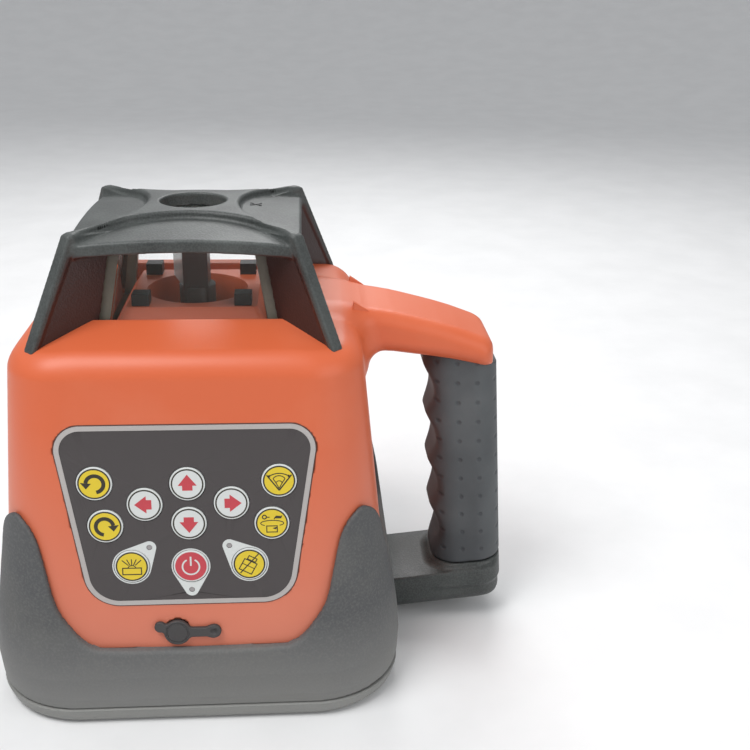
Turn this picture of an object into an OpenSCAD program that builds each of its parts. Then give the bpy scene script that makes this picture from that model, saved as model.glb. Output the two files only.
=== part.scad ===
// Self-levelling rotating laser level: tapered housing, glass lantern with a spinning
// prism head, membrane keypad, side handle, battery base and two-axis levelling gimbal.
// Millimetres. Origin: tripod axis at the underside of the base. -Y is the keypad side,
// +X is the handle side, +Z is up.

/* [Body] */
// Half width of the tapered side walls, measured at ground level
body_half = 79.1; // [77:0.1:80]
// Inward taper of every side wall, degrees
taper = 6; // [5.5:0.1:6.5]
// Wall thickness of the moulded housing
wall = 3; // [2.4:0.1:3.4]
// Height where the side walls turn over into the top
shoulder_z = 138; // [136:0.5:139]
// Height of the raised edge around the lantern opening
deck_z = 150; // [149.5:0.1:151]
// Half width of the square lantern opening
opening_half = 36.5; // [36.5:0.1:37]

/* [Base] */
// Thickness of the visible band of the base
base_t = 7.5; // [7:0.1:8]
// Thread core radius of a 5/8 inch tripod screw
tripod_r = 6.75; // [6.7:0.01:6.9]
// Depth of the tripod thread
tripod_depth = 16; // [12:1:18]

/* [Lantern] */
// Half width of the square roof
roof_half = 42; // [41:0.5:43]
// Height of the roof at its centre
roof_top = 187; // [186:0.5:189]
// Lean of the glass panes, degrees
pane_lean = 10; // [9:0.5:11]
// Thickness of the glass panes
pane_t = 4.5; // [3:0.5:5]
// Radius of the plumb beam hole in the roof
plumb_hole_r = 12.7; // [11:0.1:13.5]
// Thickness of the diagonal fins
fin_t = 4; // [3:0.5:5]

/* [Keypad] */
// Radius of the push keys
key_r = 6.4; // [6:0.1:6.6]
// How far a key stands out of the panel face
key_rise = 0.5; // [0.2:0.1:1]
// Sideways gap between a key and its hole
key_gap = 0.25; // [0.2:0.05:0.4]

/* [Gimbal] */
// Height of both tilt axes
pivot_z = 105; // [104:0.5:106]
// Radius of the gimbal trunnions
trunnion_r = 1.6; // [1.4:0.1:1.8]
// Running clearance of trunnions, nuts and bearings
run_gap = 0.06; // [0.03:0.01:0.09]
// Reach of the ring's levelling arm
ring_reach = 38; // [37:0.5:39]
// Reach of the carrier's levelling arm
carrier_reach = 44; // [43:0.5:45]
// Radius of the spinning head's hollow shaft
shaft_r = 7.2; // [7:0.1:7.4]

/* [Handle] */
// Half width of the orange arm and of the foot arm
arm_half = 19.5; // [18:0.5:20]
// Lean of the grip towards the body, degrees
grip_lean = 4.3; // [4:0.1:4.6]
// Half depth of the rubber grip
grip_half = 16.5; // [15:0.5:17]

/* [Hidden] */

$fn = 64;
skin = 0.02;      // thickness of the thin slices that hulls are stretched over
fit = 0.1;        // gap between moulded parts that drop into each other
hull_fn = 32;
seal_t = 1;
ground_z = base_t + seal_t;          // bottom of the housing wall
plate_z = 137;                       // top of the platform flange, foot of the panes
platform_z = 151;                    // top of the raised platform
platform_knee = 143.8;               // height where the platform's sides start to lean in
well_r = 20;                         // round well that the spinning head stands in
roof_floor = 179.5;                  // underside of the roof, top of the panes
rib_t = 5;                           // thickness of the rib along a fin's outer edge
panel_z = 86;                        // height of the keypad's centre line
plug_z = 39.4;
strap_hinge = [3.8, 1];              // bending line of the plug strap: x, height off the face
screw_at = 58;                       // housing screws, x and y
foot_corner = 33;                    // corner radius of the housing at its foot
tray_x = [-71, -17];
tray_half = 48;
tray_z = [4.8, 29.9];
cell_r = 11.2;
cell_len = 43;
cell_y = 22.4;                       // middle of a cell from the tray's centre line
cell_z = 5.4 + cell_r;
CELL_X = [-56.4, -31.8];
contact_y = 45.2;
door_hinge = [-69, 3];               // battery door's hinge line: x and z
latch_x = -22.5;
latch_r = 4.2;
side_boss = [-78, 45, 15];           // side tripod boss: face x, height, radius
grip_foot = [113.8, 0, 27.5];        // where the grip's axis leaves the foot arm
grip_len = 101;
arm_root_x = 80.6;                   // plane where the foot arm meets the body
arm_end = 121.5;                     // outer end of the orange arm
frame_z = 34;
frame_top = frame_z + 3;
FRAME_POSTS = [[36, -44], [36, 44], [-8, -44], [-8, 44]];
arm_z = pivot_z - 1.5;               // underside of both levelling arms
carrier_plate_z = pivot_z + 7.5;
motor_y = -24;                       // spin motor's distance from the head's axis
pulley_z = 125.6;
pulley_r = 12;
pinion_r = 4;
SCREW_SPOTS = [[0, ring_reach], [-carrier_reach, 0]];
orange = [0.87, 0.43, 0.27];
dark = [0.25, 0.25, 0.26];
rubber = [0.36, 0.36, 0.37];
metal = [0.72, 0.73, 0.75];

function half_at(z) = body_half - z * tan(taper);
function pane_half(z) = 33.5 - (z - deck_z) * tan(pane_lean);
function face_v(z) = (z - panel_z) / cos(taper);

// key positions on the face: x and height
key_ccw_at = [-33, 99.5];
key_cw_at = [-30.1, 82.9];
key_scan_at = [33, 99.5];
key_speed_at = [30.1, 82.9];
key_left_at = [-15.6, 91.1];
key_right_at = [15.6, 91.1];
key_up_at = [0, 98.8];
key_down_at = [0, 83.4];
key_power_at = [0, 66.3];
key_tilt_alarm_at = [-21.5, 66.7];
key_manual_at = [21.5, 66.7];
KEYS = [
  key_ccw_at, key_cw_at, key_scan_at, key_speed_at, key_left_at, key_right_at,
  key_up_at, key_down_at, key_power_at, key_tilt_alarm_at, key_manual_at
];
LEDS = [[0, 56.7], [-14.8, 74.1], [14.3, 74.2]];
led_r = 0.9;

// ---------------------------------------------------------------- shared shapes

// Square outline with round corners, as a thin slice at height z.
module slice(z, half, r)
  for (sx = [-1, 1], sy = [-1, 1])
    translate([sx * (half - r), sy * (half - r), z]) cylinder(r = r, h = skin, $fn = hull_fn);

// Solid stretched over slices given as [z, half width, corner radius].
module stack(slices) hull() for (s = slices) slice(s[0], s[1], s[2]);

// Children in the plane of the keypad face: +Z out of the face, +Y up along it.
module on_face(x, z) translate([x, -half_at(z), z]) rotate([90 - taper, 0, 0]) children();

// Children repeated at the four diagonals, +X pointing outwards.
module diagonals() for (a = [45 : 90 : 315]) rotate([0, 0, a]) children();

// Children repeated at the four housing screws.
module at_screws()
  for (x = [-screw_at, screw_at], y = [-screw_at, screw_at]) translate([x, y, 0]) children();

// Plate in the vertical plane through X, from an outline in X and Z.
module fin_plate(outline, t)
  translate([0, t / 2, 0]) rotate([90, 0, 0]) linear_extrude(t) polygon(outline);

module tube(r_out, r_in, h) difference() {
  cylinder(r = r_out, h = h);
  translate([0, 0, -1]) cylinder(r = r_in, h = h + 2);
}

module rounded_rect(x0, x1, half, r) union() {
  translate([x0 + r, -half]) square([x1 - x0 - 2 * r, 2 * half]);
  translate([x0, -half + r]) square([x1 - x0, 2 * half - 2 * r]);
  for (x = [x0 + r, x1 - r], y = [-half + r, half - r]) translate([x, y]) circle(r = r);
}

module centred_box(x0, x1, half, z0, z1)
  translate([x0, -half, z0]) cube([x1 - x0, 2 * half, z1 - z0]);

// ---------------------------------------------------------------- housing

// Outer or inner form of the housing, pulled in by t.
module housing_form(t, foot) stack([
  [foot, half_at(foot) - t, foot_corner - t],
  [shoulder_z - t, half_at(shoulder_z) - t, 20.5 - t],
  [shoulder_z + 5.2 - t, half_at(shoulder_z) - 1.7 - t, 19 - t],
  [shoulder_z + 7.6 - t, half_at(shoulder_z) - 5.2 - t, 16 - t],
  [deck_z - t - skin, opening_half + 3, 4]
]);

// Window left open by the rubber in the middle of each side, in X and Z.
module skirt_window() {
  side = [
    [0, 33], [33, 33], [39.5, 35.4], [44.8, 41.8], [48.4, 47.5], [50.5, 52], [52.4, 61.8],
    [55, 75.5], [57, 79.8], [59.5, 82.8], [63, 85.5], [66, 86.4], [90, 86.6], [90, 100], [0, 100]
  ];
  for (s = [0, 1]) mirror([s, 0]) polygon(side);
}

// Handle arm growing out of the housing, as an outline in X and Z.
arm_outline = [
  [58, 123.4], [66, 123.4], [67.8, 126.2], [71.3, 128], [76, 128.7], [86.5, 127.2], [97, 125.8],
  [105, 124.2], [117, 121.5], [arm_end, 119.4], [121.4, 124], [120.8, 129], [118.6, 132],
  [113.7, 134.6], [101.7, 139.2], [84.5, 143.8], [76, 145.8], [58, 147]
];

module arm_solid() intersection() {
  fin_plate(arm_outline, 2 * arm_half);
  linear_extrude(200) rounded_rect(40, arm_end, arm_half, 9);
}

module fin_slots(gap) diagonals() {
  fin_plate([[47.6, 136], [77.6, 136], [77.6, 153], [47.6, 153]], fin_t + 2 * gap);
  fin_plate([[72.5, 136], [78.1, 136], [78.1, 153], [72.5, 153]], rib_t + 2 * gap);
}

module panel_outline(inset) hull() for (s = [-1, 1]) {
  translate([s * 36.9, face_v(111.8)]) circle(r = 9.5 - inset, $fn = hull_fn);
  translate([s * 26.2, face_v(63.7)]) circle(r = 13 - inset, $fn = hull_fn);
}

module grip_frame() translate(grip_foot) rotate([0, -grip_lean, 0]) children();

module grip_bar(extra)
  translate([-7 - extra, -9 - extra, -10]) cube([14 + 2 * extra, 18 + 2 * extra, grip_len + 14]);

module neck_hole() centred_box(arm_root_x - 16, arm_root_x + 1, 13 + fit, 10 - fit, 20 + fit);

module side_boss_hole() translate([side_boss[0] - 4, 0, side_boss[1]]) rotate([0, 90, 0])
  cylinder(r = side_boss[2] + fit, h = 24);

module main_housing() color(orange) difference() {
  union() {
    difference() {
      union() {
        housing_form(0, ground_z);
        arm_solid();
      }
      housing_form(wall, ground_z - 1);
      centred_box(55, 84, arm_half - 3.5, 133, 141.8);
      translate([0, 0, 100]) linear_extrude(60) square(2 * opening_half, center = true);
    }
    linear_extrude(deck_z) difference() {
      square(2 * opening_half + 6, center = true);
      square(2 * opening_half, center = true);
    }
    at_screws() translate([0, 0, ground_z]) cylinder(r = 5, h = 30);
    diagonals() translate([screw_at * sqrt(2) + 4, -1.5, ground_z]) cube([7, 3, 30]);
  }
  translate([0, 0, -1]) linear_extrude(plate_z - 2) square(2 * opening_half + 8, center = true);
  at_screws() translate([0, 0, ground_z - 1]) cylinder(r = 2 + fit, h = 24);
  fin_slots(fit);
  on_face(0, panel_z) translate([0, 0, -1.7]) linear_extrude(5) panel_outline(0);
  on_face(0, panel_z) translate([0, 0, -6]) linear_extrude(8) panel_outline(3);
  on_face(-6, plug_z) translate([0, 0, -8]) cylinder(r = 4.6 + fit, h = 12);
  on_face(7.6, plug_z + 0.2) translate([0, 0, -8]) cylinder(r = 1.3 + fit, h = 12);
  neck_hole();
  side_boss_hole();
  grip_frame() grip_bar(fit);
}

module rubber_skirt() color(rubber) difference() {
  stack([
    [base_t + 0.1, 79.3, 34], [12, 79.9, 33.5], [22, 80.2, 32.5], [44, 77.6, 30],
    [86.4 - skin, half_at(86.4) + 1.7, 26]
  ]);
  housing_form(-fit, base_t - 2);
  translate([0, 150, 0]) rotate([90, 0, 0]) linear_extrude(300) skirt_window();
  translate([-150, 0, 0]) rotate([90, 0, 90]) linear_extrude(300) skirt_window();
  neck_hole();
  side_boss_hole();
}

// Outline of the housing's foot, pulled in by inset.
module foot_outline(inset)
  rounded_rect(inset - half_at(base_t), half_at(base_t) - inset, half_at(base_t) - inset,
    foot_corner - inset);

module base_seal() color("dimgray") translate([0, 0, base_t]) linear_extrude(seal_t)
  difference() {
    foot_outline(0.4);
    foot_outline(wall);
  }

module housing_screws() color(metal) at_screws() difference() {
  translate([0, 0, 1.2]) {
    cylinder(r = 3.7, h = 2.6);
    cylinder(r = 2, h = 28);
  }
  translate([0, 0, 0.6]) cylinder(r = 1.6, h = 2, $fn = 6);
}

// ---------------------------------------------------------------- base and batteries

module base_plate() color([0.5, 0.51, 0.51]) difference() {
  union() {
    difference() {
      stack([
        [0, 76.6, 33], [2.6, 78.8, 34], [base_t - skin, 79.9, 34]
      ]);
      translate([0, 0, 3.8]) stack([[0, 72.5, 27], [6, 72.5, 27]]);
    }
    cylinder(r = 15, h = tripod_depth + 3);
    at_screws() cylinder(r = 6.5, h = base_t);
    for (p = FRAME_POSTS) translate([p[0], p[1], 0]) cylinder(r = 5, h = frame_z);
    for (s = [-1, 1]) translate([door_hinge[0] - 4, s * (tray_half + 3) - 3, 0]) cube([8, 6, base_t]);
  }
  translate([0, 0, -1]) cylinder(r = 11 + fit, h = tripod_depth + 1);
  at_screws() translate([0, 0, -1]) {
    cylinder(r = 3.7 + fit, h = 4.8 + fit);
    cylinder(r = 2 + fit, h = 12);
  }
  translate([tray_x[0], -tray_half, -1]) cube([tray_x[1] - tray_x[0], 2 * tray_half, 12]);
  translate([tray_x[0] - 1.6, -tray_half, -1]) cube([10, 2 * tray_half, tray_z[0] + 1]);
  translate([door_hinge[0], -tray_half - 4, door_hinge[1]]) rotate([-90, 0, 0])
    cylinder(r = 1.5 + run_gap, h = 2 * tray_half + 8);
}

module tripod_insert() color("goldenrod") tube(11, tripod_r, tripod_depth);

module side_tripod_insert() color("goldenrod")
  translate([side_boss[0], 0, side_boss[1]]) rotate([0, 90, 0]) difference() {
    union() {
      cylinder(r = side_boss[2], h = 8.5);
      cylinder(r = 11, h = tripod_depth);
    }
    translate([0, 0, -1]) cylinder(r = tripod_r, h = tripod_depth + 2);
  }

module battery_tray() color(dark) difference() {
  translate([tray_x[0] + fit, -tray_half + fit, tray_z[0]])
    cube([tray_x[1] - tray_x[0] - 2 * fit, 2 * tray_half - 2 * fit, tray_z[1] - tray_z[0]]);
  translate([tray_x[0] + 2, -tray_half + 2, tray_z[0] - 1])
    cube([tray_x[1] - tray_x[0] - 4, 2 * tray_half - 4, tray_z[1] - tray_z[0] - 0.8]);
  centred_box(tray_x[1] - 3, tray_x[1] + 1, 7, tray_z[0] - 1, tray_z[0] + 2.4);
}

module battery_cells() for (x = CELL_X, s = [-1, 1]) translate([x, s * cell_y, cell_z])
  rotate([-90 * s, 0, 0]) translate([0, 0, -cell_len / 2]) {
    color("steelblue") cylinder(r = cell_r, h = cell_len - 1.6);
    color(metal) cylinder(r = 3, h = cell_len - 0.2);
  }

module battery_contacts() color(metal) for (s = [-1, 1]) {
  translate([tray_x[0] + 4, s * contact_y - 0.6, 8]) cube([46, 1.2, 18]);
  if (s == 1) for (x = CELL_X) translate([x, contact_y - 1.2, cell_z]) rotate([-90, 0, 0])
    tube(5, 3.6, 0.7);
}

module battery_door() color([0.42, 0.43, 0.43]) difference() {
  union() {
    translate([tray_x[0] + 4.2, -tray_half + 0.5, 0.5])
      cube([tray_x[1] - tray_x[0] - 4.7, 2 * tray_half - 1, 3]);
    for (s = [0, 1]) mirror([0, s, 0]) {
      translate([door_hinge[0], tray_half - 2.5, door_hinge[1]]) rotate([-90, 0, 0])
        cylinder(r = 1.5, h = 4.5);
      translate([door_hinge[0], tray_half - 2.1, 1.6]) cube([5, 1.6, 1.8]);
    }
  }
  translate([latch_x, 0, -1]) cylinder(r = latch_r + 0.3, h = 8);
  for (i = [0 : 4]) translate([-62 + i * 3, -20, 0]) cube([1.2, 40, 0.9]);
}

module door_latch() color(dark) translate([latch_x, 0, 0]) difference() {
  union() {
    translate([0, 0, 0.5]) cylinder(r = latch_r, h = 3);
    translate([-2.4, -6.3, 4.1]) cube([4.8, 12.6, 1.2]);
    translate([0, 0, 3]) cylinder(r = 2.2, h = 1.4);
  }
  translate([-0.8, -3.4, 0]) cube([1.6, 6.8, 1.8]);
}

// ---------------------------------------------------------------- lantern

module inner_platform() color(orange) difference() {
  union() {
    translate([0, 0, plate_z - 3]) linear_extrude(3) square(2 * (opening_half - fit), center = true);
    translate([0, 0, plate_z - 5]) linear_extrude(2) square(88, center = true);
    stack([[plate_z - 1.5, 29.6, 2], [platform_knee, 29.6, 2], [platform_z - skin, 24.8, 2]]);
  }
  translate([0, 0, plate_z - 6]) linear_extrude(3) square(64, center = true);
  difference() {
    stack([[plate_z - 4, 27.2, 2], [platform_knee - 0.8, 27.2, 2], [platform_z - 2.4, 23.5, 2]]);
    cylinder(r = well_r + 1.8, h = 160);
  }
  cylinder(r = well_r, h = 160);
}

module remote_receivers() color([0.1, 0.1, 0.1])
  for (x = [-19.4, 19.4], y = [-20.4, 20.4]) translate([x - 3.3, y - 3.3, platform_z])
    cube([6.6, 6.6, 4.7]);

// Glass pane as a solid stretched between a lower and an upper bar.
module pane(long_bottom, long_top) hull() {
  translate([-pane_half(plate_z), -long_bottom, plate_z]) cube([pane_t, 2 * long_bottom, skin]);
  translate([-pane_half(roof_floor), -long_top, roof_floor - skin]) cube([pane_t, 2 * long_top, skin]);
}

module side_pane() pane(pane_half(plate_z), pane_half(roof_floor));

module end_pane() pane(pane_half(plate_z) - pane_t - 0.25, pane_half(roof_floor) - pane_t - 0.25);

module window_left() color([0.75, 0.85, 0.82, 0.5]) side_pane();

module window_right() color([0.75, 0.85, 0.82, 0.5]) mirror([1, 0, 0]) side_pane();

module window_front() color([0.75, 0.85, 0.82, 0.5]) rotate([0, 0, 90]) end_pane();

module window_back() color([0.75, 0.85, 0.82, 0.5]) rotate([0, 0, -90]) end_pane();

fin_outline = [
  [50.7, 139], [40.6, roof_floor], [40.6, 182], [57.6, 182.8], [76.9, 145], [76.9, 141], [74, 139]
];
rib_outline = [
  [55, 180.5], [55.6, 182.8], [58, 182.8], [77.3, 145], [77.3, 141], [74.6, 141], [74.6, 145]
];

module roof_cage() color(dark) difference() {
  union() {
    translate([0, 0, 176.6]) linear_extrude(5) square(2 * roof_half, center = true);
    intersection() {
      translate([0, 0, 176.6]) linear_extrude(12) difference() {
        square(2 * roof_half, center = true);
        for (a = [0 : 90 : 270]) rotate([0, 0, a]) translate([60, 0]) circle(r = 42);
      }
      translate([0, 0, roof_top - 500]) sphere(r = 500, $fn = 128);
    }
    diagonals() {
      fin_plate(fin_outline, fin_t);
      fin_plate(rib_outline, rib_t);
    }
  }
  translate([0, 0, 170]) linear_extrude(roof_floor - 170) square(2 * roof_half - 7, center = true);
  translate([0, 0, 170]) cylinder(r = plumb_hole_r, h = 30);
  translate([0, 0, 170]) cylinder(r = plumb_hole_r + 1, h = 11.6);
}

module plumb_window() color([0.75, 0.85, 0.82, 0.5])
  translate([0, 0, roof_floor]) cylinder(r = plumb_hole_r + 1 - fit, h = 2);

// ---------------------------------------------------------------- handle

// Flat slice with round corners between x0 and x1, for hulls.
module arm_slice(x0, x1, half, r, z) for (x = [x0 + r, x1 - r], y = [r - half, half - r])
  translate([x, y, z]) cylinder(r = r, h = skin, $fn = hull_fn);

module lower_arm() color(dark) difference() {
  union() {
    translate([arm_root_x, 0, 9.2]) rotate([0, -taper, 0]) hull() {
      arm_slice(-12, 49, arm_half, 10, 13);
      arm_slice(-12, 48, arm_half, 10, 0);
      arm_slice(-12, 40, arm_half - 6, 8, -5);
    }
    grip_frame() hull() {
      arm_slice(-15.2, 15.8, grip_half, 12, 0.6);
      arm_slice(-22, 15.6, arm_half - 1, 10, -4.5);
    }
  }
  translate([arm_root_x - 30, -40, -10]) cube([30, 80, 20]);
  translate([arm_root_x - 30, -40, 20]) cube([30, 80, 20]);
  for (s = [-1, 1]) translate([arm_root_x - 30, s * 33 - 20, 0]) cube([30, 40, 40]);
  translate([arm_root_x - 30, -40, 0]) cube([16, 80, 40]);
  grip_frame() grip_bar(fit);
}

module grip_core() color(metal) intersection() {
  grip_frame() grip_bar(0);
  translate([80, -20, 20]) cube([60, 40, 112]);
}

// Space above the underside of the handle arm, where the grip stops.
under_arm = [
  [80, 128], [86.5, 127.1], [97, 125.7], [105, 124.1], [117, 121.4], [arm_end, 119.3],
  [130, 119.3], [130, 150], [80, 150]
];

module rubber_grip() color(rubber) grip_frame() difference() {
  translate([0, 0, 1]) linear_extrude(grip_len - 1.5) rounded_rect(-15.2, 15.8, grip_half, 12);
  for (s = [16, 38, 60, 82]) translate([-24.4, 30, s]) rotate([90, 0, 0]) cylinder(r = 13, h = 60);
  grip_bar(fit);
  rotate([0, grip_lean, 0]) translate(-grip_foot) fin_plate(under_arm, 60);
}

// ---------------------------------------------------------------- keypad

module keypad_panel() color([0.33, 0.3, 0.31]) difference() {
  on_face(0, panel_z) translate([0, 0, -1.7]) linear_extrude(1.9) panel_outline(fit);
  for (k = KEYS) on_face(k[0], k[1]) translate([0, 0, -5]) cylinder(r = key_r + key_gap, h = 10);
  for (l = LEDS) on_face(l[0], l[1]) translate([0, 0, -5]) cylinder(r = led_r + 0.1, h = 10);
}

module keypad_board() color("darkgreen") on_face(0, panel_z) translate([0, 0, -7])
  linear_extrude(1.6) panel_outline(5);

module status_leds() color("tomato") for (l = LEDS) on_face(l[0], l[1]) translate([0, 0, -5.4])
  cylinder(r = led_r, h = 5.5);

// Round push key with a retaining flange behind the panel.
module key(at, tint) color(tint) on_face(at[0], at[1]) {
  translate([0, 0, -2.9]) cylinder(r = key_r, h = 2.9 + key_rise);
  translate([0, 0, -2.9]) cylinder(r = key_r + 0.6, h = 1.1);
}

yellow = [0.92, 0.8, 0.16];

module key_ccw() key(key_ccw_at, yellow);
module key_cw() key(key_cw_at, yellow);
module key_scan() key(key_scan_at, yellow);
module key_speed() key(key_speed_at, yellow);
module key_left() key(key_left_at, "white");
module key_right() key(key_right_at, "white");
module key_up() key(key_up_at, "white");
module key_down() key(key_down_at, "white");
module key_power() key(key_power_at, "crimson");
module key_tilt_alarm() key(key_tilt_alarm_at, yellow);
module key_manual() key(key_manual_at, yellow);

module charge_socket() color(dark) on_face(-6, plug_z) difference() {
  translate([0, 0, -13]) cylinder(r = 4.6, h = 12.9);
  translate([0, 0, -11]) cylinder(r = 3.3, h = 14);
}

module plug_anchor() color(rubber) {
  on_face(7.6, plug_z + 0.2) cylinder(r = 2.6, h = 2);
  on_face(7.6, plug_z + 0.2) translate([0, 0, -4]) cylinder(r = 1.3, h = 4.1);
}

// Cap, finger tab and strap of the inlet's rubber plug, seen from the front.
module plug_outline() {
  circle(r = 5);
  translate([-6.2, 3.4]) circle(r = 2);
  rotate([0, 0, 151]) translate([3, -1.6]) square([4, 3.2]);
  translate([2, -1.9]) square([strap_hinge[0] + 4, 3.8]);
}

module charge_plug() color(rubber) on_face(-6, plug_z) {
  translate([0, 0, 0.1]) linear_extrude(1.8) plug_outline();
  translate([0, 0, -2.2]) cylinder(r = 2.4, h = 3.2);
  translate([strap_hinge[0] + 6, 1.9, strap_hinge[1]]) rotate([90, 0, 0])
    cylinder(r = 0.7, h = 3.8);
}

// ---------------------------------------------------------------- electronics

module main_board() color("darkgreen") translate([-44, 48, frame_top]) cube([88, 1.6, 58]);

module alarm_buzzer() color([0.12, 0.12, 0.12]) translate([24, 49.6, 60]) rotate([-90, 0, 0])
  difference() {
    cylinder(r = 7, h = 6);
    translate([0, 0, 1]) cylinder(r = 1.2, h = 6);
  }

// ---------------------------------------------------------------- gimbal

module gimbal_frame() color(metal) difference() {
  union() {
    translate([-58, -50, frame_z]) cube([100, 100, 3]);
    for (s = [-1, 1]) {
      translate([s * 30 - 2, -8, frame_z]) cube([4, 16, pivot_z - frame_z + 3]);
      translate([s * 25 - 4, -1.5, frame_z]) cube([8, 3, 24]);
    }
  }
  translate([-40, 0, pivot_z]) rotate([0, 90, 0]) cylinder(r = trunnion_r + run_gap, h = 80);
  translate([0, 0, frame_z - 1]) cylinder(r = 8, h = 6);
}

module gimbal_ring() color("silver") difference() {
  union() {
    translate([0, 0, pivot_z - 4]) tube(26, 20, 8);
    for (s = [-1, 1]) translate([s * 29.3, 0, pivot_z]) rotate([0, 90, 0])
      cylinder(r = trunnion_r, h = 7.4, center = true);
    translate([-6, 24.5, arm_z]) cube([12, ring_reach - 19, 3]);
  }
  for (s = [-1, 1]) translate([0, s * 22.8, pivot_z]) rotate([90, 0, 0])
    cylinder(r = trunnion_r + run_gap, h = 6.4, center = true);
  translate([-3.9, ring_reach - 4.4, arm_z - 1]) cube([7.8, 20, 5]);
}

module laser_carrier() color([0.55, 0.56, 0.58]) difference() {
  union() {
    translate([0, 0, 62]) cylinder(r = 14, h = 62);
    translate([0, 0, carrier_plate_z]) linear_extrude(3) {
      circle(r = 16);
      translate([-8, motor_y]) square([16, 20]);
      translate([0, motor_y]) circle(r = 8);
    }
    centred_box(-37.4, -13, 6, carrier_plate_z, carrier_plate_z + 3);
    centred_box(-37.4, -34.6, 6, arm_z, carrier_plate_z + 1);
    centred_box(-carrier_reach - 5, -35, 6, arm_z, arm_z + 3);
    for (s = [-1, 1]) translate([0, s * 19, pivot_z]) rotate([90, 0, 0])
      cylinder(r = trunnion_r, h = 13, center = true);
    centred_box(10, 14.6, 9, 68, 76);
    translate([-9, 10, 68]) cube([18, 4.6, 8]);
  }
  translate([0, 0, 61]) cylinder(r = 9, h = 60);
  translate([0, 0, 100]) cylinder(r = 11, h = 30);
  centred_box(-carrier_reach - 20, -carrier_reach + 4.4, 3.9, arm_z - 1, arm_z + 4);
}

module laser_module() color([0.2, 0.2, 0.22]) translate([0, 0, 62]) difference() {
  cylinder(r = 9 - fit, h = 22);
  translate([0, 0, 12]) cylinder(r = 2, h = 11);
}

module collimator_lens() color([0.7, 0.8, 0.9, 0.6]) translate([0, 0, 90])
  cylinder(r = 9 - fit, h = 3);

module level_sensors() color("khaki") {
  centred_box(14.6, 18, 8, 69, 75);
  translate([-8, 14.6, 69]) cube([16, 3.4, 6]);
}

module head_bearings() color("silver") for (z = [101, 118])
  translate([0, 0, z]) tube(11 - fit / 2, shaft_r + run_gap, 5);

module rotor_head() color([0.16, 0.15, 0.16]) difference() {
  union() {
    translate([0, 0, 100.6]) cylinder(r = shaft_r, h = 52.2);
    centred_box(-4.9, 4.9, 6, 152, 172.5);
  }
  centred_box(-8, 2.9, 4.2, 153, 170);
  translate([0, 0, 99]) cylinder(r = 3.2, h = 60);
  translate([-1, 0, 165]) cylinder(r = 2, h = 12);
}

prism_outline = [[-8.5, 169.8], [-8.5, 157.5], [-5.6, 153.2], [2.8, 153.2], [2.8, 165.5], [-1.4, 169.8]];

module pentaprism() color([0.85, 0.9, 0.92, 0.8]) fin_plate(prism_outline, 8.2);

module head_pulley() color([0.3, 0.3, 0.32]) translate([0, 0, pulley_z]) difference() {
  union() {
    cylinder(r = pulley_r, h = 4.4);
    for (z = [0, 3.8]) translate([0, 0, z]) cylinder(r = pulley_r + 0.9, h = 0.6);
  }
  translate([0, 0, -1]) cylinder(r = shaft_r + fit / 2, h = 8);
}

module spin_motor() color(metal) translate([0, motor_y, carrier_plate_z + 3]) difference() {
  cylinder(r = 7.5, h = 9.5);
  translate([0, 0, -1]) cylinder(r = 1 + run_gap, h = 12);
}

module motor_pulley() color([0.3, 0.3, 0.32]) translate([0, motor_y, 0]) {
  translate([0, 0, carrier_plate_z + 4]) cylinder(r = 1, h = pulley_z + 4.4 - carrier_plate_z - 4);
  translate([0, 0, pulley_z]) cylinder(r = pinion_r, h = 4.4);
}

// Closed loop around both pulleys, grown by t.
module belt_outline(t) hull() {
  circle(r = pulley_r + t);
  translate([0, motor_y]) circle(r = pinion_r + t);
}

module drive_belt() color([0.1, 0.1, 0.1]) translate([0, 0, pulley_z + 1]) linear_extrude(2.4)
  difference() {
    belt_outline(1);
    belt_outline(0.2);
  }

module levelling_motors() color(metal) for (p = SCREW_SPOTS) translate([p[0], p[1], frame_top])
  difference() {
    cylinder(r = 8, h = 30);
    translate([0, 0, 20]) cylinder(r = 2 + run_gap, h = 12);
  }

module lead_screw(p) color("gainsboro") translate([p[0], p[1], frame_z + 24]) cylinder(r = 2, h = 54);

module levelling_nut(p) color("burlywood") translate([p[0], p[1], pivot_z]) difference() {
  union() {
    translate([0, 0, -4.9]) cylinder(r = 3.2, h = 9.8);
    for (z = [-4.9, 2.9]) translate([0, 0, z]) cylinder(r = 5.4, h = 2);
  }
  translate([0, 0, -10]) cylinder(r = 2 + run_gap, h = 20);
}

module lead_screw_ring() lead_screw(SCREW_SPOTS[0]);
module lead_screw_carrier() lead_screw(SCREW_SPOTS[1]);
module levelling_nut_ring() levelling_nut(SCREW_SPOTS[0]);
module levelling_nut_carrier() levelling_nut(SCREW_SPOTS[1]);

base_plate();
base_seal();
rubber_skirt();
main_housing();
housing_screws();
inner_platform();
roof_cage();
plumb_window();
window_front();
window_back();
window_left();
window_right();
remote_receivers();
lower_arm();
grip_core();
rubber_grip();
keypad_panel();
keypad_board();
status_leds();
key_ccw();
key_cw();
key_scan();
key_speed();
key_left();
key_right();
key_up();
key_down();
key_power();
key_tilt_alarm();
key_manual();
charge_socket();
plug_anchor();
charge_plug();
battery_tray();
battery_cells();
battery_contacts();
battery_door();
door_latch();
tripod_insert();
side_tripod_insert();
main_board();
alarm_buzzer();
gimbal_frame();
gimbal_ring();
laser_carrier();
laser_module();
collimator_lens();
level_sensors();
head_bearings();
rotor_head();
pentaprism();
head_pulley();
spin_motor();
motor_pulley();
drive_belt();
levelling_motors();
lead_screw_ring();
lead_screw_carrier();
levelling_nut_ring();
levelling_nut_carrier();
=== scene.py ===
"""Looks of a rotating laser level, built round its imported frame.

The large moulded pieces are distance functions turned into meshes; printed marks are flat outlines.
Shape functions and outlines are in millimetres in the frame's axes; meshes are made in metres.
"""

import math

import bpy
import numpy as np
from mathutils import Matrix, Vector


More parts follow.
